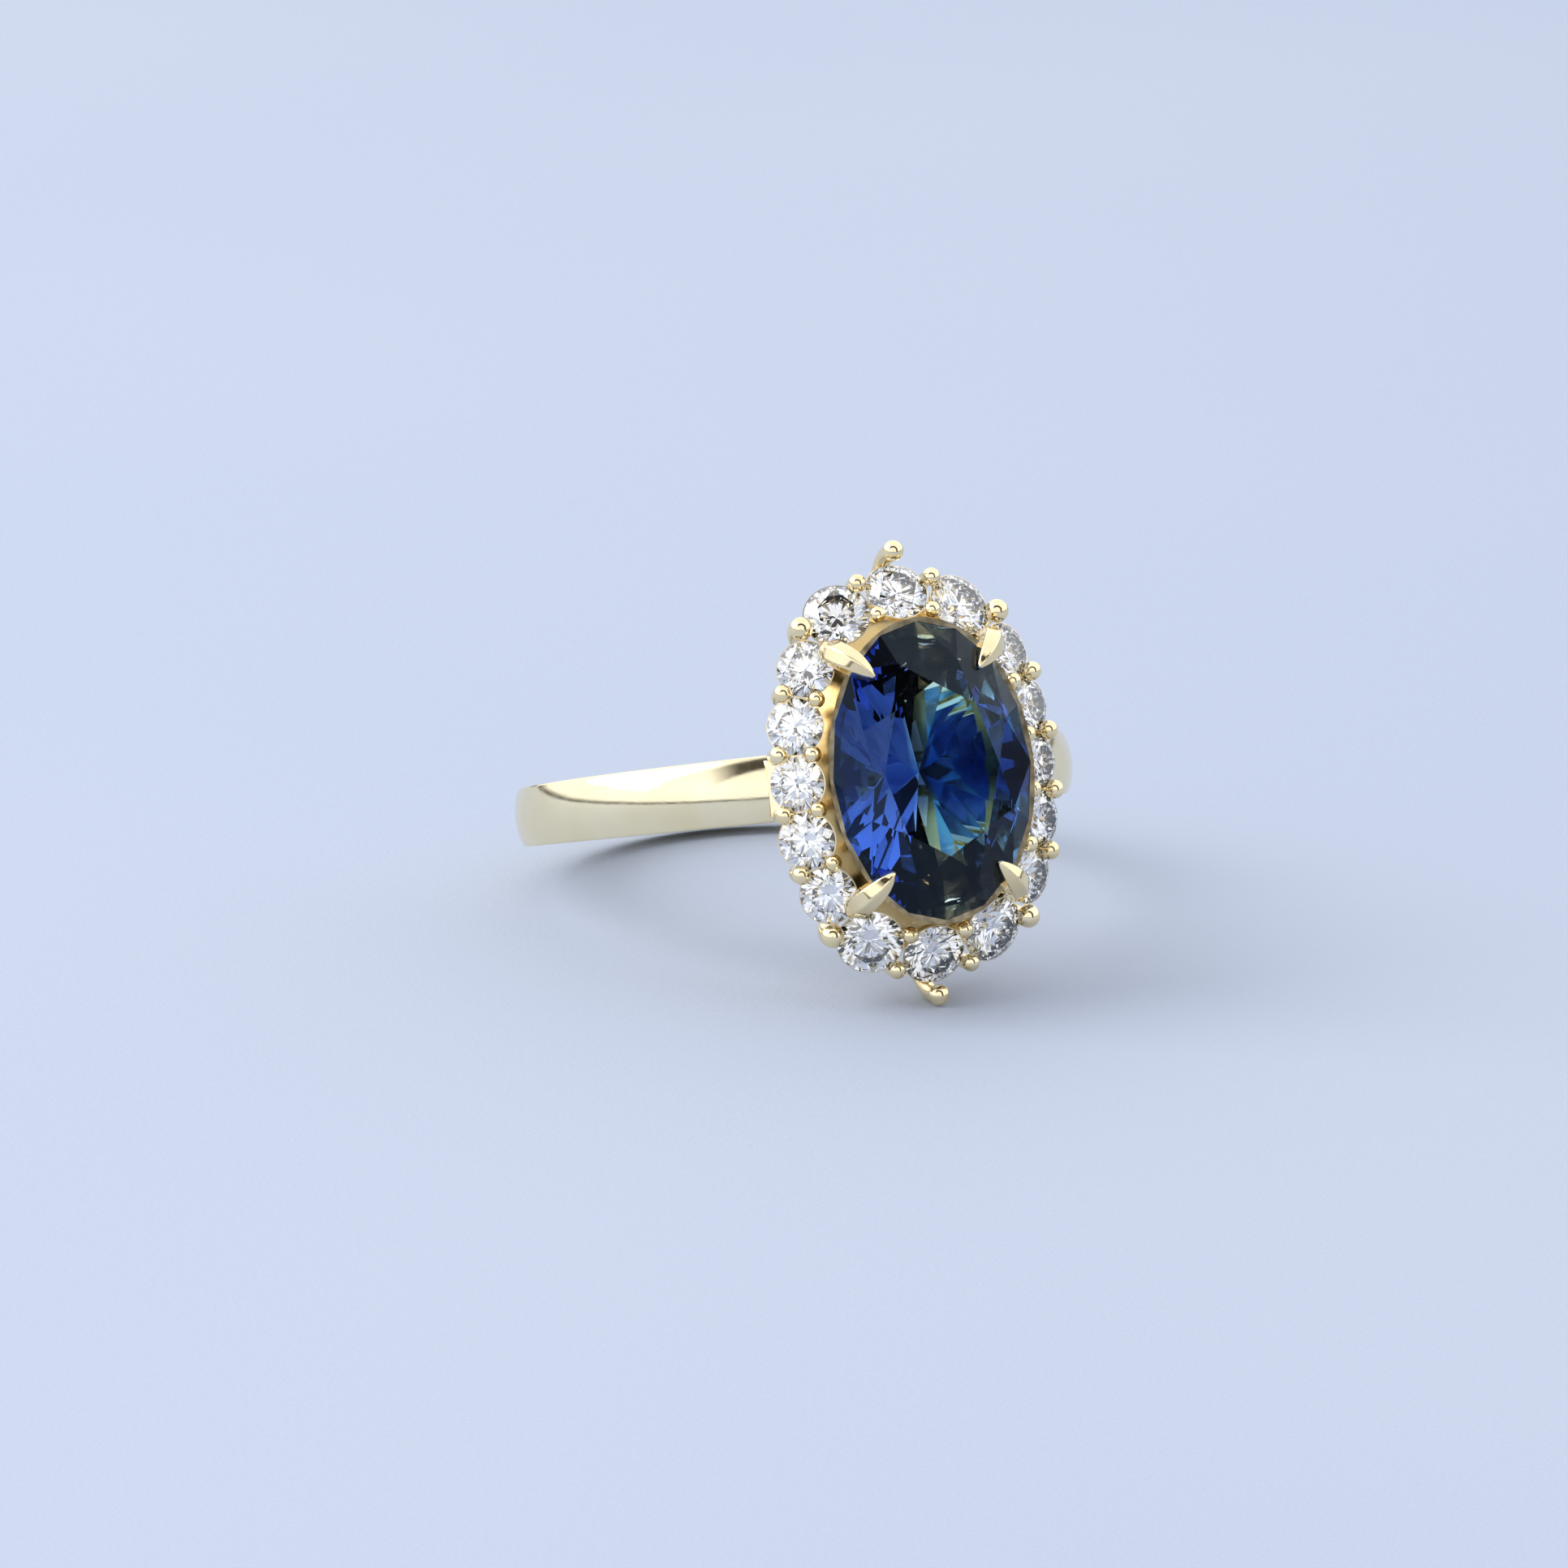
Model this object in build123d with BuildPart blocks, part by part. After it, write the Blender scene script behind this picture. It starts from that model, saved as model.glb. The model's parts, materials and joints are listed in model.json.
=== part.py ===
from build123d import *
import os
from math import asin, atan2, copysign, cos, degrees, hypot, pi, radians, sin, sqrt, tan

# An engagement ring: a polished band carries an oval cluster head, in which an oval centre
# stone stands inside a halo of sixteen round brilliants held by ball-tipped claws.
#
# Every piece is built in the head's own frame, in millimetres: X across the finger, Y along
# the finger, +Z out of the head, and the origin on the head's centre line at the level of
# the tables of the two waist stones. At the end the whole ring is laid on its side, with the
# finger axis near the vertical, so that it rests on the near tip claw and the back of the band.

# The band.
BORE_RADIUS = 8.25
BAND_OUTER_RADIUS = 9.65
BAND_DOME_RADIUS = 2.38
SHOULDER_WIDTH = 2.20
SHOULDER_RISE = 6.0  # how far above the finger axis the band is SHOULDER_WIDTH wide
BACK_WIDTH = 1.86
BAND_EDGE = 0.10
BAND_BLANK_SPARE = 1.5  # how much wider than the shoulders the blank is turned
HEAD_HEIGHT = 12.94  # from the finger axis to the waist stones' tables

# The centre stone, an oval brilliant with its long axis along the finger.
CENTRE_HALF_WIDTH = 3.50
CENTRE_HALF_LENGTH = 5.00
CENTRE_GIRDLE_LEVEL = 1.18

# The halo: the centres of its stones' tables lie on a superellipse.
HALO_COUNT = 16
HALO_HALF_WIDTH = 4.41
HALO_HALF_LENGTH = 6.24
HALO_FULLNESS = 2.3
HALO_TILT = 31  # degrees that each stone leans outwards
STONE_TURN = 17  # degrees that each stone is turned in its seat from the one before
# From tip to waist: place along the finger, level of the table, diameter.
HALO_ROWS = [
    (6.24, -0.24, 2.10),
    (5.60, -0.24, 2.20),
    (3.84, 0.00, 1.90),
    (1.93, 0.00, 1.90),
    (0.00, 0.00, 1.82),
]

# The halo's claws, for each gap from tip to waist: radius of the outer bead, and how far the
# outer and the inner bead stand from the middle of the gap. The second gap holds a centre
# claw in place of an inner bead.
HALO_GAPS = [
    (0.31, 0.58, 0.58),
    (0.40, 0.64, None),
    (0.32, 0.46, 0.53),
    (0.32, 0.46, 0.53),
]
BEAD_SINK = 0.02  # bead centres below the plane of the tables
BEAD_TO_WIRE = 0.80
INNER_BEAD_RADIUS = 0.29
INNER_WIRE_RADIUS = 0.22
TIP_BEAD_RADIUS = 0.36
TIP_BEAD_REACH = 7.44
TIP_BEAD_LEVEL = -0.44
CLAW_RISE = 0.30  # how far an outer claw climbs before its bend
CLAW_BEND_SHARE = 0.97  # how much of the shorter run the bend takes up

# Proportions of a brilliant, as shares of its girdle radius.
TABLE_SHARE = 0.58
CROWN_ANGLE = 34
PAVILION_ANGLE = 41
GIRDLE_SHARE = 0.06
STAR_SHARE = 0.78  # where the star facets end
LOWER_HALF_SHARE = 0.22  # where the lower girdle facets end
MAINS = 8

# The gallery under the halo: one cup under each stone, and a floor that joins them.
CUP_LIP = 0.04
CUP_DEPTH = 1.15
CUP_FOOT_SHARE = 0.62
CUP_HOLE_SHARE = 0.24
CUP_HOLE_DEPTH = 2.30
FLOOR_TOP = -0.42
FLOOR_THICKNESS = 0.32
FLOOR_INNER = (2.30, 3.70)
FLOOR_OUTER = (4.10, 5.90)
FLOOR_SOCKET = 0.16  # how deep the inner claws stand in the floor

# The collet: an oval cone that carries the centre stone's girdle.
COLLET_LIP = 0.11
COLLET_LEDGE = 0.22
COLLET_DEPTH = 2.35
COLLET_FOOT = (2.05, 3.45)
COLLET_FOOT_WALL = 0.35

# The lower rail, and the bridge that joins it to the band.
RAIL_TOP = -2.35
RAIL_HEIGHT = 0.66
RAIL_HALF_WIDTH = 2.75
RAIL_HALF_LENGTH = 5.08
RAIL_WALL = 0.62
RAIL_EDGE = 0.12
BRIDGE_WIDTH = 1.90
BRIDGE_TOP_HALF = 2.90
BRIDGE_FOOT_HALF = 3.95
BRIDGE_FOOT_DROP = 1.10
BRIDGE_ROOT_DROP = 1.55

# The centre claws: pointed talons with a ridge, on round legs.
TALON_TIP = (1.84, 3.25, 1.66)
TALON_ROOT = (2.92, 4.30, 0.30)
TALON_START_LEAN = 8
# From root to tip: share of the way, width, height above the path, depth below it.
TALON_SECTIONS = [
    (0.00, 0.80, 0.30, 0.36),
    (0.40, 0.84, 0.32, 0.36),
    (0.75, 0.60, 0.26, 0.30),
    (1.00, 0.16, 0.10, 0.16),
]
RIDGE_SHOULDER = 0.25  # height of a talon's side walls, as a share of its ridge
LEG_RADIUS = 0.33
LEG_FOOT_ANGLE = 50  # where a leg stands on the rail, in degrees from the waist
LEG_SOCKET = 0.08  # how deep a leg stands in the rail

FINGER_AXIS = Axis((0, 0, -HEAD_HEIGHT), (0, 1, 0))
UP = Vector(0, 0, 1)

pieces = {}


def keep(builder, label):
    """Name a finished piece and keep it for the assembly."""
    builder.part.label = label
    pieces[label] = builder


def fitted(blank, tools):
    """A piece as its blank leaves it once it is cut to meet what it touches."""
    with BuildPart() as piece:
        add(blank.part)
        for tool in tools:
            add(tool, mode=Mode.SUBTRACT)
    return piece


# ---------------------------------------------------------------- cut stones


def crown_slope():
    return tan(radians(CROWN_ANGLE))


def pavilion_slope():
    return tan(radians(PAVILION_ANGLE))


def facet_rings():
    """The rings of facets on a stone of unit radius.

    Each ring is its first angle, its count, the distance from the axis at which its planes
    cross the edge of the girdle, and their slope: positive on the crown, negative below.
    """
    step = 360 / MAINS
    half = cos(radians(step / 2))
    quarter = cos(radians(step / 4))
    table_rise = (1 - TABLE_SHARE) * crown_slope()
    star_rise = (1 - STAR_SHARE * half) * crown_slope()
    star_slope = (table_rise - star_rise) / (STAR_SHARE - TABLE_SHARE * half)
    upper_slope = star_rise / (quarter - STAR_SHARE * quarter)
    lower_drop = (1 - LOWER_HALF_SHARE * half) * pavilion_slope()
    lower_slope = lower_drop / (quarter - LOWER_HALF_SHARE * quarter)
    return [
        (0, MAINS, 1, crown_slope()),
        (step / 4, 2 * MAINS, quarter, upper_slope),
        (step / 2, MAINS, TABLE_SHARE * half + table_rise / star_slope, star_slope),
        (0, MAINS, 1, -pavilion_slope()),
        (step / 4, 2 * MAINS, quarter, -lower_slope),
    ]


def facet_plane(angle, reach, slope, half_width, half_length):
    """A facet's plane on a stone whose unit outline is stretched to the two half axes."""
    turn = radians(angle)
    girdle_edge = 0 if slope > 0 else -GIRDLE_SHARE * half_width
    through = (reach * cos(turn) * half_width, reach * sin(turn) * half_length, girdle_edge)
    outward = (
        abs(slope) * cos(turn),
        abs(slope) * sin(turn) * half_width / half_length,
        copysign(1, slope),
    )
    return Plane(origin=through, z_dir=outward)


def brilliant(half_width, half_length):
    """A faceted stone, table up, with the top edge of its girdle at Z 0."""
    girdle = GIRDLE_SHARE * half_width
    table_rise = (1 - TABLE_SHARE) * crown_slope() * half_width
    culet_drop = girdle + pavilion_slope() * half_width
    with BuildPart() as stone:
        with BuildSketch(Plane.XY.offset(-culet_drop)):
            Ellipse(half_width, half_length)
        extrude(amount=culet_drop + table_rise)
        for start, count, reach, slope in facet_rings():
            for index in range(count):
                angle = start + index * 360 / count
                cut = facet_plane(angle, reach, slope, half_width, half_length)
                split(bisect_by=cut, keep=Keep.BOTTOM)
    return stone


def seat_cutter(radius):
    """The round seat that a stone beds in: a little outside its facets all the way."""
    half = cos(radians(180 / MAINS))
    table_rise = (1 - TABLE_SHARE) * crown_slope() * radius
    star_rise = (1 - STAR_SHARE * half) * crown_slope() * radius
    girdle = GIRDLE_SHARE * radius
    lower_drop = girdle + (1 - LOWER_HALF_SHARE * half) * pavilion_slope() * radius
    culet_drop = girdle + pavilion_slope() * radius
    with BuildPart() as cutter:
        with BuildSketch(Plane.XZ):
            with BuildLine():
                Polyline(
                    (0, -culet_drop),
                    (LOWER_HALF_SHARE * radius, -lower_drop),
                    (radius, -girdle),
                    (radius, 0),
                    (STAR_SHARE * radius, star_rise),
                    (TABLE_SHARE * radius, table_rise),
                    (0, table_rise),
                    close=True,
                )
            make_face()
        revolve(axis=Axis.Z)
    return cutter


# ---------------------------------------------------------------- the halo's layout


def halo_row(index):
    """Which row, from tip to waist, a place going round the halo belongs to."""
    half_round = HALO_COUNT // 2
    return min(index % half_round, half_round - index % half_round)


def halo_point(index):
    """The centre of a stone's table; place 0 is the far tip, and places run clockwise."""
    turn = 2 * pi * index / HALO_COUNT
    along, level, diameter = HALO_ROWS[halo_row(index)]
    share = 1 - (along / HALO_HALF_LENGTH) ** HALO_FULLNESS
    across = HALO_HALF_WIDTH * share ** (1 / HALO_FULLNESS)
    return Vector(copysign(across, sin(turn)), copysign(along, cos(turn)), level)


def halo_outward(index):
    """The level direction square to the halo's outline at a stone."""
    point = halo_point(index)
    power = HALO_FULLNESS - 1
    across = (abs(point.X) / HALO_HALF_WIDTH) ** power / HALO_HALF_WIDTH
    along = (abs(point.Y) / HALO_HALF_LENGTH) ** power / HALO_HALF_LENGTH
    return Vector(copysign(across, point.X), copysign(along, point.Y), 0).normalized()


def halo_seat(index):
    """The plane of a stone's girdle, facing out of the stone's table."""
    outward = halo_outward(index)
    facing = outward * sin(radians(HALO_TILT)) + UP * cos(radians(HALO_TILT))
    radius = halo_radius(index)
    table_rise = (1 - TABLE_SHARE) * crown_slope() * radius
    origin = halo_point(index) - facing * table_rise
    seat = Plane(origin=origin, x_dir=outward.cross(UP), z_dir=facing)
    turn_in_seat = Location((0, 0, 0), (0, 0, STONE_TURN * index))
    return Plane(seat.location * turn_in_seat)


def halo_radius(index):
    return HALO_ROWS[halo_row(index)][2] / 2


def gap_after(index):
    """The gap between a stone and the next one: its middle, its outward direction, its row."""
    following = (index + 1) % HALO_COUNT
    middle = (halo_point(index) + halo_point(following)) / 2
    outward = (halo_outward(index) + halo_outward(following)).normalized()
    row = min(halo_row(index), halo_row(following))
    return middle, outward, row


def bead_point(index, reach):
    """A bead's centre, reach outwards from the middle of a gap and just under the tables."""
    middle, outward, row = gap_after(index)
    return middle + outward * reach - UP * (reach * tan(radians(HALO_TILT)) + BEAD_SINK)


# ---------------------------------------------------------------- the band and what it carries


def make_band():
    """A domed band with a plain bore, a little narrower at the back than at the shoulders."""
    taper = (SHOULDER_WIDTH - BACK_WIDTH) / 2 / (SHOULDER_RISE + BAND_OUTER_RADIUS)
    blank_width = SHOULDER_WIDTH * BAND_BLANK_SPARE
    back = Vector(0, BACK_WIDTH / 2, -HEAD_HEIGHT - BAND_OUTER_RADIUS)
    with BuildPart() as band:
        with BuildSketch(Plane.XY.offset(-HEAD_HEIGHT)):
            with Locations((BORE_RADIUS, 0)):
                Rectangle(
                    2 * BAND_DOME_RADIUS,
                    blank_width,
                    align=(Align.MIN, Align.CENTER),
                )
            with Locations((BAND_OUTER_RADIUS - BAND_DOME_RADIUS, 0)):
                Circle(BAND_DOME_RADIUS, mode=Mode.INTERSECT)
        revolve(axis=FINGER_AXIS)
        split(bisect_by=Plane(origin=back, z_dir=(0, 1, -taper)), keep=Keep.BOTTOM)
        split(
            bisect_by=Plane(origin=(0, -back.Y, back.Z), z_dir=(0, -1, -taper)),
            keep=Keep.BOTTOM,
        )
        fillet(band.edges().filter_by(lambda edge: edge.is_closed), BAND_EDGE)
    return band


def make_rail():
    """The oval rail that the legs and the outer claws spring from."""
    with BuildPart() as rail:
        with BuildSketch(Plane.XY.offset(RAIL_TOP - RAIL_HEIGHT)):
            Ellipse(RAIL_HALF_WIDTH, RAIL_HALF_LENGTH)
            Ellipse(
                RAIL_HALF_WIDTH - RAIL_WALL,
                RAIL_HALF_LENGTH - RAIL_WALL,
                mode=Mode.SUBTRACT,
            )
        extrude(amount=RAIL_HEIGHT)
        fillet(rail.faces().sort_by(Axis.Z)[-1].edges(), RAIL_EDGE)
    return rail


def make_bridge(band):
    """The saddle between the round of the band and the flat foot of the rail."""
    top = RAIL_TOP - RAIL_HEIGHT
    with BuildPart() as bridge:
        with BuildSketch(Plane.XZ):
            with BuildLine():
                Polyline(
                    (-BRIDGE_TOP_HALF, top),
                    (BRIDGE_TOP_HALF, top),
                    (BRIDGE_FOOT_HALF, top - BRIDGE_FOOT_DROP),
                    (BRIDGE_FOOT_HALF, top - BRIDGE_ROOT_DROP),
                    (-BRIDGE_FOOT_HALF, top - BRIDGE_ROOT_DROP),
                    (-BRIDGE_FOOT_HALF, top - BRIDGE_FOOT_DROP),
                    close=True,
                )
            make_face()
        extrude(amount=BRIDGE_WIDTH / 2, both=True)
        add(band.part, mode=Mode.SUBTRACT)
    return bridge


# ---------------------------------------------------------------- the centre setting


def oval_cone(top, top_axes, foot, foot_axes):
    """A solid oval cone between two levels."""
    with BuildPart() as cone:
        with BuildSketch(Plane.XY.offset(foot)):
            Ellipse(*foot_axes)
        with BuildSketch(Plane.XY.offset(top)):
            Ellipse(*top_axes)
        loft(ruled=True)
    return cone


def collet_blank():
    """The outside of the collet, still solid."""
    outer = (CENTRE_HALF_WIDTH + COLLET_LIP, CENTRE_HALF_LENGTH + COLLET_LIP)
    foot = CENTRE_GIRDLE_LEVEL - COLLET_DEPTH
    return oval_cone(CENTRE_GIRDLE_LEVEL, outer, foot, COLLET_FOOT)


def collet_hollow():
    """The space inside the collet, below the ledge that the stone sits on."""
    inner = (CENTRE_HALF_WIDTH - COLLET_LEDGE, CENTRE_HALF_LENGTH - COLLET_LEDGE)
    inner_foot = tuple(axis - COLLET_FOOT_WALL for axis in COLLET_FOOT)
    foot = CENTRE_GIRDLE_LEVEL - COLLET_DEPTH
    return oval_cone(CENTRE_GIRDLE_LEVEL, inner, foot, inner_foot)


def centre_claw_blank(side_x, side_y):
    """A leg from the rail, an elbow between two halo stones, and a talon over the crown."""
    mirror = (side_x, side_y, 1)
    tip = Vector(*(axis * sign for axis, sign in zip(TALON_TIP, mirror)))
    root = Vector(*(axis * sign for axis, sign in zip(TALON_ROOT, mirror)))
    foot_turn = radians(LEG_FOOT_ANGLE)
    foot = Vector(
        side_x * (RAIL_HALF_WIDTH - RAIL_WALL / 2) * cos(foot_turn),
        side_y * (RAIL_HALF_LENGTH - RAIL_WALL / 2) * sin(foot_turn),
        RAIL_TOP - LEG_SOCKET,
    )
    inward = Vector(tip.X - root.X, tip.Y - root.Y, 0).normalized()
    lean = radians(TALON_START_LEAN)
    with BuildPart() as claw:
        with BuildLine(mode=Mode.PRIVATE) as arch:
            TangentArc(root, tip, tangent=inward * sin(lean) + UP * cos(lean))
        curve = arch.edge()
        for share, width, height, depth in TALON_SECTIONS:
            forward = curve.tangent_at(share)
            station = Plane(
                origin=curve.position_at(share), x_dir=UP.cross(inward), z_dir=forward
            )
            shoulder = height * RIDGE_SHOULDER
            with BuildSketch(station):
                with BuildLine():
                    Polyline(
                        (-width / 2, -depth),
                        (width / 2, -depth),
                        (width / 2, shoulder),
                        (0, height),
                        (-width / 2, shoulder),
                        close=True,
                    )
                make_face()
        loft()
        with Locations(root):
            Sphere(LEG_RADIUS)
        with BuildSketch(Plane(origin=foot, z_dir=root - foot)):
            Circle(LEG_RADIUS)
        extrude(amount=(root - foot).length)
    return claw


# ---------------------------------------------------------------- the halo's claws


def outer_claw_blank(tip, bead_radius):
    """A wire that springs from the rail, bends upright and ends in a bead over the girdle."""
    turn = atan2(tip.Y / HALO_HALF_LENGTH, tip.X / HALO_HALF_WIDTH)
    root = Vector(
        (RAIL_HALF_WIDTH - RAIL_WALL / 2) * cos(turn),
        (RAIL_HALF_LENGTH - RAIL_WALL / 2) * sin(turn),
        RAIL_TOP - RAIL_HEIGHT / 2,
    )
    level = Vector(tip.X - root.X, tip.Y - root.Y, 0)
    reach = level.length
    height = tip.Z - root.Z
    bend = pi / 2 - atan2(CLAW_RISE, reach)
    shorter = min(hypot(reach, CLAW_RISE), height - CLAW_RISE)
    bend_radius = CLAW_BEND_SHARE * shorter / tan(bend / 2)
    with BuildPart() as claw:
        with BuildLine(Plane(origin=root, x_dir=level, z_dir=level.cross(UP))) as route:
            FilletPolyline((0, 0), (reach, CLAW_RISE), (reach, height), radius=bend_radius)
        wire = route.wire()
        with BuildSketch(Plane(origin=wire.position_at(0), z_dir=wire.tangent_at(0))):
            Circle(bead_radius * BEAD_TO_WIRE)
        sweep(path=wire)
        with Locations(tip):
            Sphere(bead_radius)
    return claw


def inner_claw_blank(tip):
    """A short post from the gallery's floor with a bead over two stones' inner edges."""
    foot = FLOOR_TOP - FLOOR_SOCKET
    with BuildPart() as claw:
        with BuildSketch(Plane(origin=(tip.X, tip.Y, foot))):
            Circle(INNER_WIRE_RADIUS)
        extrude(amount=tip.Z - foot)
        with Locations(tip):
            Sphere(INNER_BEAD_RADIUS)
    return claw


# ---------------------------------------------------------------- the gallery


def make_cup(radius):
    """The outside of one cup: a cone that narrows away from the middle of the girdle."""
    top = -GIRDLE_SHARE * radius / 2
    with BuildPart() as cup:
        with BuildSketch(Plane.XZ):
            with BuildLine():
                Polyline(
                    (0, top),
                    (radius + CUP_LIP, top),
                    (CUP_FOOT_SHARE * radius, top - CUP_DEPTH),
                    (0, top - CUP_DEPTH),
                    close=True,
                )
            make_face()
        revolve(axis=Axis.Z)
    return cup


def make_gallery(tools):
    """Sixteen cups joined in a ring by a floor, pierced under each stone."""
    with BuildPart() as gallery:
        with BuildSketch(Plane.XY.offset(FLOOR_TOP - FLOOR_THICKNESS)):
            Ellipse(*FLOOR_OUTER)
            Ellipse(*FLOOR_INNER, mode=Mode.SUBTRACT)
        extrude(amount=FLOOR_THICKNESS)
        for index in range(HALO_COUNT):
            cup = make_cup(halo_radius(index))
            add(cup.part.moved(halo_seat(index).location))
        for index in range(HALO_COUNT):
            with BuildSketch(halo_seat(index)):
                Circle(CUP_HOLE_SHARE * halo_radius(index))
            extrude(amount=-CUP_HOLE_DEPTH, mode=Mode.SUBTRACT)
        for tool in tools:
            add(tool, mode=Mode.SUBTRACT)
    return gallery


# ---------------------------------------------------------------- the assembly


def make_stones():
    """The centre stone and the halo's stones, and the cutters that make their seats."""
    centre = brilliant(CENTRE_HALF_WIDTH, CENTRE_HALF_LENGTH)
    centre.part.move(Location((0, 0, CENTRE_GIRDLE_LEVEL)))
    keep(centre, "centre_stone")
    radii = {diameter / 2 for along, level, diameter in HALO_ROWS}
    cut = {radius: brilliant(radius, radius) for radius in radii}
    cutters = []
    for index in range(HALO_COUNT):
        radius = halo_radius(index)
        seat = halo_seat(index).location
        with BuildPart() as stone:
            add(cut[radius].part.moved(seat))
        keep(stone, f"halo_stone_{index + 1:02d}")
        cutters.append(seat_cutter(radius).part.moved(seat))
    return centre, cutters


def make_halo_claws(cutters, rail, collet):
    """The outer claws, one in each gap, the inner claws, and the two tip claws."""
    blanks = []
    inner_count = 0
    for index in range(HALO_COUNT):
        neighbours = [cutters[index], cutters[(index + 1) % HALO_COUNT]]
        bead_radius, outer_reach, inner_reach = HALO_GAPS[gap_after(index)[2]]
        blank = outer_claw_blank(bead_point(index, outer_reach), bead_radius)
        blanks.append(blank.part)
        keep(fitted(blank, [*neighbours, rail]), f"outer_claw_{index + 1:02d}")
        if inner_reach:
            inner_count += 1
            blank = inner_claw_blank(bead_point(index, -inner_reach))
            blanks.append(blank.part)
            keep(fitted(blank, [*neighbours, collet]), f"inner_claw_{inner_count:02d}")
    for name, side, index in (("far", 1, 0), ("near", -1, HALO_COUNT // 2)):
        tip = Vector(0, side * TIP_BEAD_REACH, TIP_BEAD_LEVEL)
        blank = outer_claw_blank(tip, TIP_BEAD_RADIUS)
        blanks.append(blank.part)
        keep(fitted(blank, [cutters[index], rail]), f"tip_claw_{name}")
    return blanks


def make_centre_claws(cutters, centre, rail, collet):
    """One talon in each gap between a corner stone and its side neighbour."""
    blanks = []
    corners = [(1, 1, 1), (1, -1, 6), (-1, -1, 9), (-1, 1, 14)]
    for number, (side_x, side_y, index) in enumerate(corners, start=1):
        blank = centre_claw_blank(side_x, side_y)
        blanks.append(blank.part)
        bead = pieces[f"outer_claw_{index + 1:02d}"].part
        tools = [centre, collet, rail, bead, *cutters[index : index + 2]]
        keep(fitted(blank, tools), f"centre_claw_{number}")
    return blanks


def make_ring():
    centre, cutters = make_stones()
    band = make_band()
    keep(band, "band")
    rail = make_rail()
    keep(rail, "lower_rail")
    keep(make_bridge(band), "bridge")
    collet = collet_blank()
    keep(fitted(collet, [collet_hollow().part, centre.part]), "centre_collet")
    blanks = make_halo_claws(cutters, rail.part, collet.part)
    blanks += make_centre_claws(cutters, centre.part, rail.part, collet.part)
    keep(make_gallery([*blanks, collet.part, *cutters]), "halo_gallery")


def resting_lean():
    """How far the finger axis leans off the vertical when the ring lies on its side.

    The ring then touches the table with the near tip claw's bead and with the rounded lower
    edge of the band at its back, so the table is the common tangent of those two circles.
    """
    half_width = BACK_WIDTH / 2
    dome_drop = BAND_DOME_RADIUS - sqrt(BAND_DOME_RADIUS**2 - half_width**2)
    edge_along = -half_width + BAND_EDGE
    edge_level = -HEAD_HEIGHT - BAND_OUTER_RADIUS + dome_drop + BAND_EDGE
    along = edge_along + TIP_BEAD_REACH
    height = TIP_BEAD_LEVEL - edge_level
    return atan2(along, height) + asin((TIP_BEAD_RADIUS - BAND_EDGE) / hypot(along, height))


def lay_down():
    """Lay the ring on its side, with the middle of its underside box at the origin."""
    lean = resting_lean()
    print("finger axis leans", round(degrees(lean), 2), "degrees")
    turned = Plane(origin=(0, 0, 0), x_dir=(1, 0, 0), z_dir=(0, -cos(lean), sin(lean)))
    for builder in pieces.values():
        builder.part.move(turned.location)
    boxes = [builder.part.bounding_box() for builder in pieces.values()]
    front = min(box.min.Y for box in boxes)
    back = max(box.max.Y for box in boxes)
    floor = min(box.min.Z for box in boxes)
    shift = Vector(0, -(front + back) / 2, -floor)
    print("head origin stands at", shift)
    for builder in pieces.values():
        builder.part.move(Location(shift))


make_ring()
lay_down()
os.makedirs("parts", exist_ok=True)
for label, piece in pieces.items():
    export_step(piece.part, f"parts/{label}.step")
print(len(pieces), "pieces")
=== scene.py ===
# %% [markdown]
# # A halo engagement ring
#
# The ring is a polished band of pale 14 carat gold. It carries an oval blue stone held by four
# pointed claws, with sixteen round colourless stones round it, each pair sharing ball-tipped
# claws. The shapes come from the frame, which is in metres, with the floor at zero height.
# This script gives every piece its finish, and lights the ring on a pale table.

import json
import math

import bpy
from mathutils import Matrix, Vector


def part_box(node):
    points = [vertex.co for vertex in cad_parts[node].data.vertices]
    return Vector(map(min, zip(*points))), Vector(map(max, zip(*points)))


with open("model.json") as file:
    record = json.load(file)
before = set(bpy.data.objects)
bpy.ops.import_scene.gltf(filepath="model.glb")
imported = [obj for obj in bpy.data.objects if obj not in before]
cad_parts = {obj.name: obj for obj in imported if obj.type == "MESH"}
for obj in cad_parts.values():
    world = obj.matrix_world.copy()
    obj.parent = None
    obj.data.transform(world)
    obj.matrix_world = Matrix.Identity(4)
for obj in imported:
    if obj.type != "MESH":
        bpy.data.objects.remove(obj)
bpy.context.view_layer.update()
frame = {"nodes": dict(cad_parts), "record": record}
nodes = frame["nodes"]
scene = bpy.context.scene
print("pieces in the frame:", len(nodes))

# %% [markdown]
# ## Where the head is
#
# The ring lies on its side, so its finger hole leans a little back from the vertical and the
# head faces the viewer. The record gives the axis of the finger hole, and the head faces square
# to it. The centre of the head is halfway up the blue stone and a set height above its culet,
# the point at its back. The viewer and the light are aimed by it. The box of the blue stone
# places the colours inside that stone.

# %% find the head
MM = 0.001
ABOVE_CULET = 2.0725 * MM

finger_axis = Vector(frame["record"]["mounts"][0]["axis"])
head_out = Vector((0, -finger_axis.z, finger_axis.y))
stone_corners = [vertex.co for vertex in nodes["centre_stone"].data.vertices]
levels = [corner.dot(finger_axis) for corner in stone_corners]
culet = min(corner.dot(head_out) for corner in stone_corners)
middle = (min(levels) + max(levels)) / 2
HEAD_CENTRE = finger_axis * middle + head_out * (culet + ABOVE_CULET)

stone_low, stone_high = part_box("centre_stone")
print("head centre in mm:", [round(value / MM, 3) for value in HEAD_CENTRE])
print("blue stone's height in mm:", round((stone_high.z - stone_low.z) / MM, 2))

# %% [markdown]
# ## The viewer
#
# A long lens about ten centimetres above the table, turned to the left of the head's face,
# shows the face almost square on with the band running away behind it. The camera is placed by
# a turn, a rise and a distance from the head, and then slid sideways to frame the ring.

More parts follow.
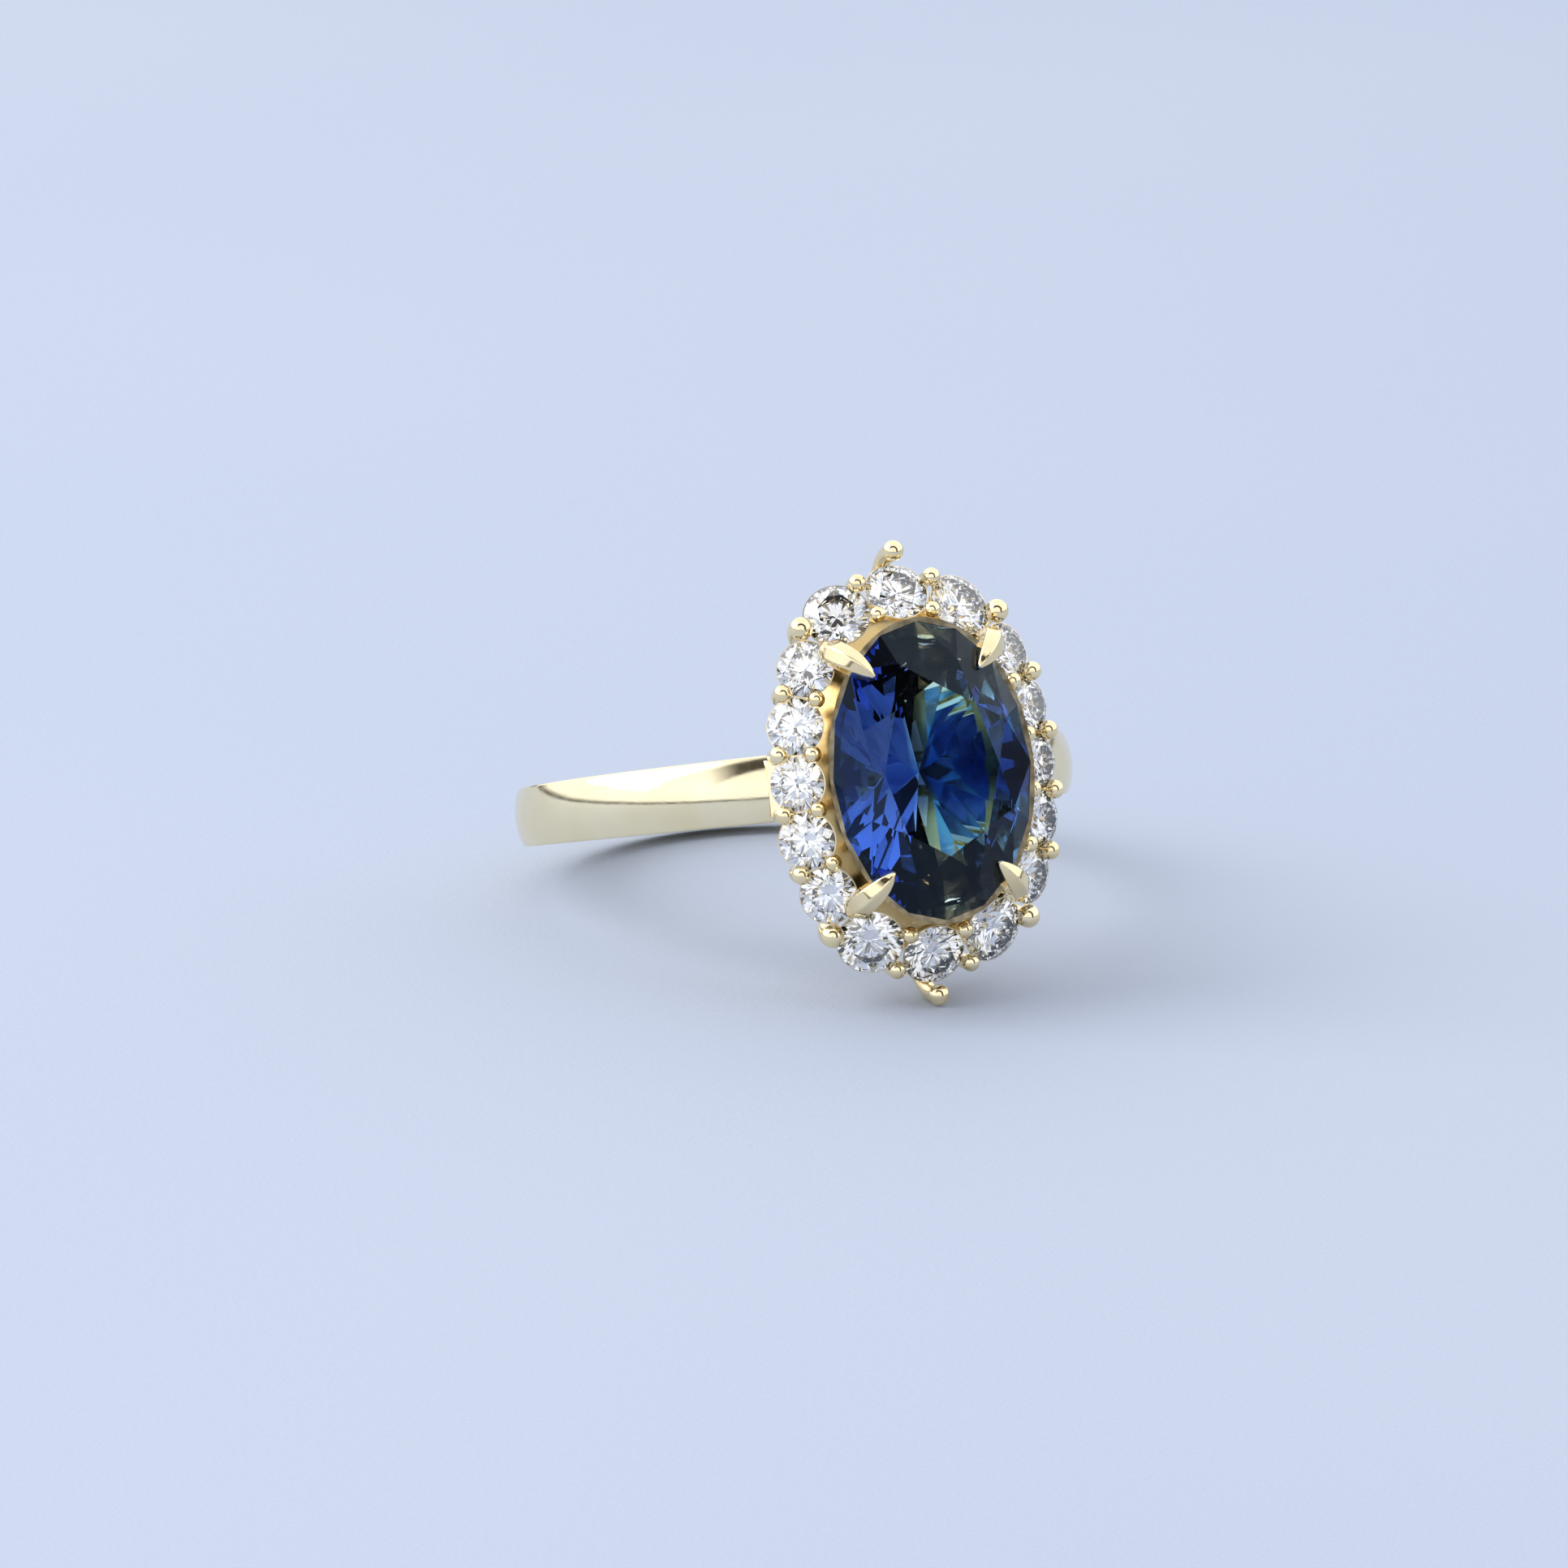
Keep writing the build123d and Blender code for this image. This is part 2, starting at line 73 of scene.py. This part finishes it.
# %% place the camera
VIEW_TURN = math.radians(-19.91)
VIEW_RISE = math.radians(15.67)
VIEW_DISTANCE = 0.350
LENS_MM = 241.323
HEAD_RIGHT = 0.004537
HEAD_UP = 0.000395
SENSOR_MM = 36
NEAREST, FARTHEST = 0.01, 20

to_viewer = Vector(
    (
        math.sin(VIEW_TURN) * math.cos(VIEW_RISE),
        -math.cos(VIEW_TURN) * math.cos(VIEW_RISE),
        math.sin(VIEW_RISE),
    )
)
view_right = Vector((math.cos(VIEW_TURN), math.sin(VIEW_TURN), 0))
view_up = to_viewer.cross(view_right)

camera_data = bpy.data.cameras.new("viewer")
camera_data.sensor_width = SENSOR_MM
camera_data.lens = LENS_MM
camera_data.clip_start = NEAREST
camera_data.clip_end = FARTHEST
camera = bpy.data.objects.new("viewer", camera_data)
scene.collection.objects.link(camera)
camera.location = HEAD_CENTRE + to_viewer * VIEW_DISTANCE - view_right * HEAD_RIGHT - view_up * HEAD_UP
camera.rotation_euler = to_viewer.to_track_quat("Z", "Y").to_euler()
scene.camera = camera
print("lens in mm:", round(camera_data.lens, 1))
print("camera above the table in mm:", round(camera.location.z / MM))

# %% [markdown]
# ## Helpers for the finishes
#
# Every finish is a small tree of nodes that reads the object's own coordinates in metres, so
# the same grain runs through neighbouring pieces as it does through one casting. The helpers
# below each add one or two nodes, so that a finish reads as a short list of what it is made of.


# %% node helpers
def new_finish(name):
    """A new material with its node tree and its main shader."""
    finish = bpy.data.materials.new(name)
    finish.use_nodes = True
    tree = finish.node_tree
    return finish, tree, tree.nodes["Principled BSDF"]


def add_node(tree, kind, **inputs):
    node = tree.nodes.new(kind)
    for name, value in inputs.items():
        node.inputs[name.replace("_", " ")].default_value = value
    return node


def grain(tree, scale, detail=3.0, stretch=(1, 1, 1)):
    """A noise over the object's own coordinates; scale is in lumps per metre."""
    place = tree.nodes.new("ShaderNodeTexCoord")
    mapping = add_node(tree, "ShaderNodeMapping", Scale=stretch)
    noise = add_node(tree, "ShaderNodeTexNoise", Scale=scale, Detail=detail)
    tree.links.new(place.outputs["Object"], mapping.inputs["Vector"])
    tree.links.new(mapping.outputs["Vector"], noise.inputs["Vector"])
    return noise.outputs["Fac"]


def ramp(tree, value, *stops):
    """A colour ramp through (position, colour) stops."""
    node = tree.nodes.new("ShaderNodeValToRGB")
    elements = node.color_ramp.elements
    while len(elements) < len(stops):
        elements.new(0.5)
    for element, (position, colour) in zip(elements, stops):
        element.position = position
        element.color = (*colour, 1)
    tree.links.new(value, node.inputs["Fac"])
    return node.outputs["Color"]


def between(tree, value, low, high, from_low=0.3, from_high=0.7):
    """Maps a value to a range of plain numbers; a grain runs mostly from 0.3 to 0.7."""
    node = add_node(
        tree, "ShaderNodeMapRange", From_Min=from_low, From_Max=from_high, To_Min=low, To_Max=high
    )
    tree.links.new(value, node.inputs["Value"])
    return node.outputs["Result"]


def bump(tree, height, depth, under=None):
    """A bump of the given depth in metres, over another bump if there is one."""
    node = add_node(tree, "ShaderNodeBump", Strength=1.0, Distance=depth)
    tree.links.new(height, node.inputs["Height"])
    if under is not None:
        tree.links.new(under, node.inputs["Normal"])
    return node.outputs["Normal"]


def blend_colours(tree, mode, factor, first, second):
    """Mixes two colours; each of the three is a socket or a plain value."""
    mix = tree.nodes.new("ShaderNodeMix")
    mix.data_type = "RGBA"
    mix.blend_type = mode
    for name, value in (("Factor", factor), ("A", first), ("B", second)):
        if isinstance(value, bpy.types.NodeSocket):
            tree.links.new(value, mix.inputs[name])
        elif name == "Factor":
            mix.inputs[name].default_value = value
        else:
            mix.inputs[name].default_value = (*value, 1)
    return mix.outputs["Result"]


# %% [markdown]
# ## Polished gold
#
# 14 carat gold is paler than pure gold. A goldsmith finishes the band on a felt wheel, which
# leaves it bright with a faint waviness and hair-fine scratches round the finger. The claws
# are burnished one by one with a cup burr, and the gallery between them only gets a brush, so
# it stays a little rougher. The gallery's gold is also darker and deeper in colour: that is
# painted shade for the recesses between the stones where it sits. A flat yellow would look
# like paint, so four noises of different size vary the colour, the roughness and the surface.


# %% gold
GOLD_EDGE_TINT = (1.0, 0.98, 0.93, 1.0)
CLOUDS_PER_METRE = 520
WAVES_PER_METRE = 620
WEAR_PER_METRE = 2600
SCRATCHES_PER_METRE = 2300
SCRATCH_DEPTH = 0.0006 * MM


def polished_gold(name, pale, deep, rough_low, rough_high, wave_depth, scratch_stretch):
    finish, tree, shader = new_finish(name)
    shader.inputs["Metallic"].default_value = 1.0
    shader.inputs["Specular Tint"].default_value = GOLD_EDGE_TINT
    cloud = grain(tree, CLOUDS_PER_METRE, detail=4)
    tree.links.new(ramp(tree, cloud, (0.32, deep), (0.62, pale)), shader.inputs["Base Color"])
    wear = grain(tree, WEAR_PER_METRE, detail=6)
    tree.links.new(between(tree, wear, rough_low, rough_high), shader.inputs["Roughness"])
    normal = bump(tree, grain(tree, WAVES_PER_METRE, detail=1), wave_depth)
    scratch = grain(tree, SCRATCHES_PER_METRE, detail=5, stretch=scratch_stretch)
    normal = bump(tree, scratch, SCRATCH_DEPTH, under=normal)
    tree.links.new(normal, shader.inputs["Normal"])
    print(name, "roughness from", rough_low, "to", rough_high)
    return finish


band_gold = polished_gold(
    "band_gold", (0.94, 0.83, 0.56), (0.90, 0.77, 0.49), 0.06, 0.13, 0.006 * MM, (1, 1, 9)
)
# The gallery's darker, deeper colours are painted shade for the recesses it sits in.
gallery_gold_painted_shade = polished_gold(
    "gallery_gold_painted_shade", (0.84, 0.72, 0.48), (0.66, 0.53, 0.32), 0.12, 0.26, 0.004 * MM, (3, 3, 3)
)
claw_gold = polished_gold(
    "claw_gold", (0.95, 0.81, 0.52), (0.90, 0.73, 0.42), 0.05, 0.11, 0.003 * MM, (2, 2, 2)
)

# %% [markdown]
# ## Cut and polished stones
#
# A cut stone is clear all through, so its look comes from its facets and from how strongly it
# bends light, which is its index. The polisher's lap leaves a trace of smear on the facets and
# an almost flat surface. Both kinds of stone share that, so one helper makes it.

# %% stone polish
STONE_POLISH_DEPTH = 0.0001 * MM


def cut_stone(name, index, smears_per_metre, most_smear, polish_per_metre):
    """A clear, polished stone with nothing said yet about its colour."""
    finish, tree, shader = new_finish(name)
    shader.inputs["Transmission Weight"].default_value = 1.0
    shader.inputs["IOR"].default_value = index
    smear = grain(tree, smears_per_metre, detail=4)
    tree.links.new(between(tree, smear, 0.0, most_smear), shader.inputs["Roughness"])
    polish = grain(tree, polish_per_metre, detail=2)
    tree.links.new(bump(tree, polish, STONE_POLISH_DEPTH), shader.inputs["Normal"])
    print(name, "index", index)
    return finish, tree, shader


# %% [markdown]
# ## Colourless stones
#
# The round stones are brilliants, cut to send the light back out of the table. A high index
# gives the bright star of facets. A trace of warmth differs from stone to stone.

# %% colourless stones
DIAMOND_INDEX = 2.42
COOL_WHITE = (0.955, 0.965, 0.975)
WARM_WHITE = (0.985, 0.975, 0.95)


def clear_stone():
    finish, tree, shader = cut_stone("clear_stone", DIAMOND_INDEX, 1500, 0.018, 9000)
    tint = grain(tree, 420, detail=1)
    colour = ramp(tree, tint, (0.35, COOL_WHITE), (0.65, WARM_WHITE))
    tree.links.new(colour, shader.inputs["Base Color"])
    return finish


diamond = clear_stone()

# %% [markdown]
# ## The blue stone
#
# A sapphire grows in zones, so its blue isn't even: this one is royal blue and navy down its
# left side. Its right side is navy in the middle, then steel blue, then grey-green at the two
# ends. The pale grey-green at the ends is painted light: it stands for light that comes through
# the stone from below and out of its end facets. The zones are laid across and along the stone
# by its own coordinates, as they lie in the crystal. The soft specular tint keeps the polished
# crown dark, as a deep stone looks beside its bright neighbours.

# %% blue stone's zones
SAPPHIRE_INDEX = 1.77
CROWN_TINT = (0.18, 0.25, 0.32, 1.0)
ZONE_WANDER = 0.16
ZONES_MEET = (0.33, 0.45)

# Up the left side, from the stone's lowest point at 0 to its highest at 1.
LEFT_SIDE = (
    (0.20, (0.010, 0.038, 0.56)),
    (0.38, (0.007, 0.022, 0.26)),
    (0.48, (0.003, 0.009, 0.07)),
    (0.72, (0.003, 0.009, 0.08)),
    (0.86, (0.009, 0.024, 0.28)),
)
# On the right side, from the stone's middle at 0 to either end at 1; the two pale grey-green stops at
# the ends are painted light.
RIGHT_SIDE_WITH_PAINTED_LIGHT = (
    (0.04, (0.012, 0.055, 0.28)),
    (0.13, (0.030, 0.140, 0.50)),
    (0.24, (0.220, 0.540, 0.95)),
    (0.58, (0.300, 0.640, 0.98)),
    (0.68, (0.860, 0.960, 0.900)),
    (0.92, (0.700, 0.860, 0.840)),
)


# %% blue stone
def blue_zones_and_painted_light():
    finish, tree, shader = cut_stone("blue_stone", SAPPHIRE_INDEX, 900, 0.02, 7000)
    shader.inputs["Specular Tint"].default_value = CROWN_TINT
    place = tree.nodes.new("ShaderNodeTexCoord")
    parts = tree.nodes.new("ShaderNodeSeparateXYZ")
    tree.links.new(place.outputs["Object"], parts.inputs["Vector"])

    across = between(tree, parts.outputs["X"], -0.08, 0.92, stone_low.x, stone_high.x)
    shift = tree.nodes.new("ShaderNodeMath")
    shift.operation = "MULTIPLY_ADD"
    shift.inputs[1].default_value = ZONE_WANDER
    tree.links.new(grain(tree, 330, detail=2), shift.inputs[0])
    tree.links.new(across, shift.inputs[2])

    along = between(tree, parts.outputs["Z"], -1.0, 1.0, stone_low.z, stone_high.z)
    end = tree.nodes.new("ShaderNodeMath")
    end.operation = "ABSOLUTE"
    tree.links.new(along, end.inputs[0])

    upward = between(tree, parts.outputs["Z"], 0.0, 1.0, stone_low.z, stone_high.z)
    left_side = ramp(tree, upward, *LEFT_SIDE)
    # The right side's pale grey-green ends are painted light coming through the stone.
    right_side_with_light = ramp(tree, end.outputs["Value"], *RIGHT_SIDE_WITH_PAINTED_LIGHT)
    side = between(tree, shift.outputs["Value"], 0.0, 1.0, *ZONES_MEET)
    colour = blend_colours(tree, "MIX", side, left_side, right_side_with_light)
    tree.links.new(colour, shader.inputs["Base Color"])
    return finish


sapphire = blue_zones_and_painted_light()

# %% [markdown]
# ## Every piece gets its finish
#
# The record names the slot of each piece, and the slot names the finish.

# %% paint the frame
FINISHES = {
    "gold_band": band_gold,
    "gold_gallery": gallery_gold_painted_shade,
    "gold_claws": claw_gold,
    "blue_stone": sapphire,
    "clear_stones": diamond,
}
slot_of = {part["node"]: part["material_slot"] for part in frame["record"]["subparts"]}
for name, piece in nodes.items():
    for index in range(len(piece.material_slots)):
        piece.material_slots[index].material = FINISHES[slot_of[name]]
print("painted:", len(nodes))

# %% [markdown]
# ## Burnished talons
#
# The setter files the four centre claws to a point and then rubs their edges round with a
# burnisher. Rebuilding each talon as a fine even skin and easing it a little rounds the edges
# over by a few hundredths of a millimetre, and leaves the ridge and the point standing.

# %% burnish the talons
TALON_GRID = 0.035 * MM
BURNISH_FACTOR = 0.5
BURNISH_STROKES = 6

for name, piece in nodes.items():
    if name.startswith("centre_claw"):
        skin = piece.modifiers.new("skin", "REMESH")
        skin.mode = "VOXEL"
        skin.voxel_size = TALON_GRID
        skin.use_smooth_shade = True
        ease = piece.modifiers.new("burnish", "SMOOTH")
        ease.factor = BURNISH_FACTOR
        ease.iterations = BURNISH_STROKES
        print(name, "burnished")

# %% [markdown]
# ## The table
#
# A sheet of pale blue card with a faint tooth, large enough to run out of sight. It isn't part
# of the ring.

# %% table
TABLE_RADIUS = 2.5
CARD_DEEP = (0.405, 0.455, 0.560)
CARD_PALE = (0.425, 0.470, 0.570)
TOOTH_DEPTH = 0.02 * MM

bpy.ops.mesh.primitive_circle_add(vertices=128, radius=TABLE_RADIUS, fill_type="NGON")
table = bpy.context.object
table.name = "table"
card, card_tree, card_shader = new_finish("pale_card")
tone = grain(card_tree, 9, detail=2)
card_colour = ramp(card_tree, tone, (0.35, CARD_DEEP), (0.65, CARD_PALE))
card_tree.links.new(card_colour, card_shader.inputs["Base Color"])
card_shader.inputs["Roughness"].default_value = 0.85
tooth = grain(card_tree, 5200, detail=4)
card_tree.links.new(bump(card_tree, tooth, TOOTH_DEPTH), card_shader.inputs["Normal"])
table.data.materials.append(card)
print("table across in metres:", 2 * TABLE_RADIUS)

# %% [markdown]
# ## The studio
#
# A white tent gives soft light from above and all round. The viewer stands in a gap in it: the
# beads show that gap as a dark arch round a pale disc, and the stones need it for their dark
# facets. The gap is closed on the left, so that the band shines evenly. What the camera sees
# past the table's edge is a plain pale backdrop.

# %% tent's colours
ZENITH = (0.95, 0.97, 1.02)
SHOULDER = (1.10, 1.13, 1.20)
HORIZON = (0.95, 1.00, 1.10)
TABLE_EDGE = (0.16, 0.17, 0.19)
BEYOND = (0.47, 0.53, 0.66)
CLOTH = (1.0, 1.0, 1.0)
GAP_DARK = (0.06, 0.055, 0.05)
BEHIND_VIEWER = (0.92, 0.92, 0.92)
LENS_DARK = (0.03, 0.03, 0.03)
GAP_CLOSES = (-0.58, -0.40)
TENT_STRENGTH = 1.26

world = bpy.data.worlds.new("tent")
scene.world = world
world.use_nodes = True
sky = world.node_tree
backdrop = sky.nodes["Background"]
direction = sky.nodes.new("ShaderNodeTexCoord").outputs["Generated"]


# %% tent
def facing(axis):
    """How nearly a direction points along an axis: 1 along it, -1 against it."""
    dot = sky.nodes.new("ShaderNodeVectorMath")
    dot.operation = "DOT_PRODUCT"
    dot.inputs[1].default_value = axis
    sky.links.new(direction, dot.inputs[0])
    return dot.outputs["Value"]


height = sky.nodes.new("ShaderNodeSeparateXYZ")
sky.links.new(direction, height.inputs["Vector"])
dome = ramp(
    sky,
    height.outputs["Z"],
    (0.00, TABLE_EDGE),
    (0.03, TABLE_EDGE),
    (0.07, HORIZON),
    (0.40, SHOULDER),
    (0.90, ZENITH),
)
gap = ramp(
    sky,
    facing(to_viewer),
    (0.570, CLOTH),
    (0.610, GAP_DARK),
    (0.800, GAP_DARK),
    (0.830, BEHIND_VIEWER),
    (0.9965, BEHIND_VIEWER),
    (0.9985, LENS_DARK),
)
open_side = between(sky, facing(view_right), 0.0, 1.0, *GAP_CLOSES)
tent = blend_colours(sky, "MULTIPLY", open_side, dome, gap)
seen = sky.nodes.new("ShaderNodeLightPath").outputs["Is Camera Ray"]
sky.links.new(blend_colours(sky, "MIX", seen, tent, BEYOND), backdrop.inputs["Color"])
backdrop.inputs["Strength"].default_value = TENT_STRENGTH
print("tent strength:", TENT_STRENGTH)

# %% [markdown]
# ## The soft box
#
# One soft box stands behind the ring on the left and above it. It puts a bright edge on the
# band and the beads and lays a faint shadow in front of them.

# %% soft box
BOX_SIDE = 0.30
BOX_PLACE = (-0.30, 0.10, 0.26)
BOX_POWER = 0.9
BOX_COLOUR = (1.0, 0.99, 0.97)

box_light = bpy.data.lights.new("soft_box", "AREA")
box_light.shape = "SQUARE"
box_light.size = BOX_SIDE
box_light.energy = BOX_POWER
box_light.color = BOX_COLOUR
soft_box = bpy.data.objects.new("soft_box", box_light)
scene.collection.objects.link(soft_box)
soft_box.location = BOX_PLACE
soft_box.rotation_euler = (soft_box.location - HEAD_CENTRE).to_track_quat("Z", "Y").to_euler()
print("soft box from the head in mm:", round((soft_box.location - HEAD_CENTRE).length / MM))

# %% [markdown]
# ## Colours as they are
#
# The plain view transform shows the colours as they were chosen. The filmic ones are made for
# very bright scenes and would grey the gold.

# %% view transform
scene.view_settings.view_transform = "Standard"
print("view transform:", scene.view_settings.view_transform)
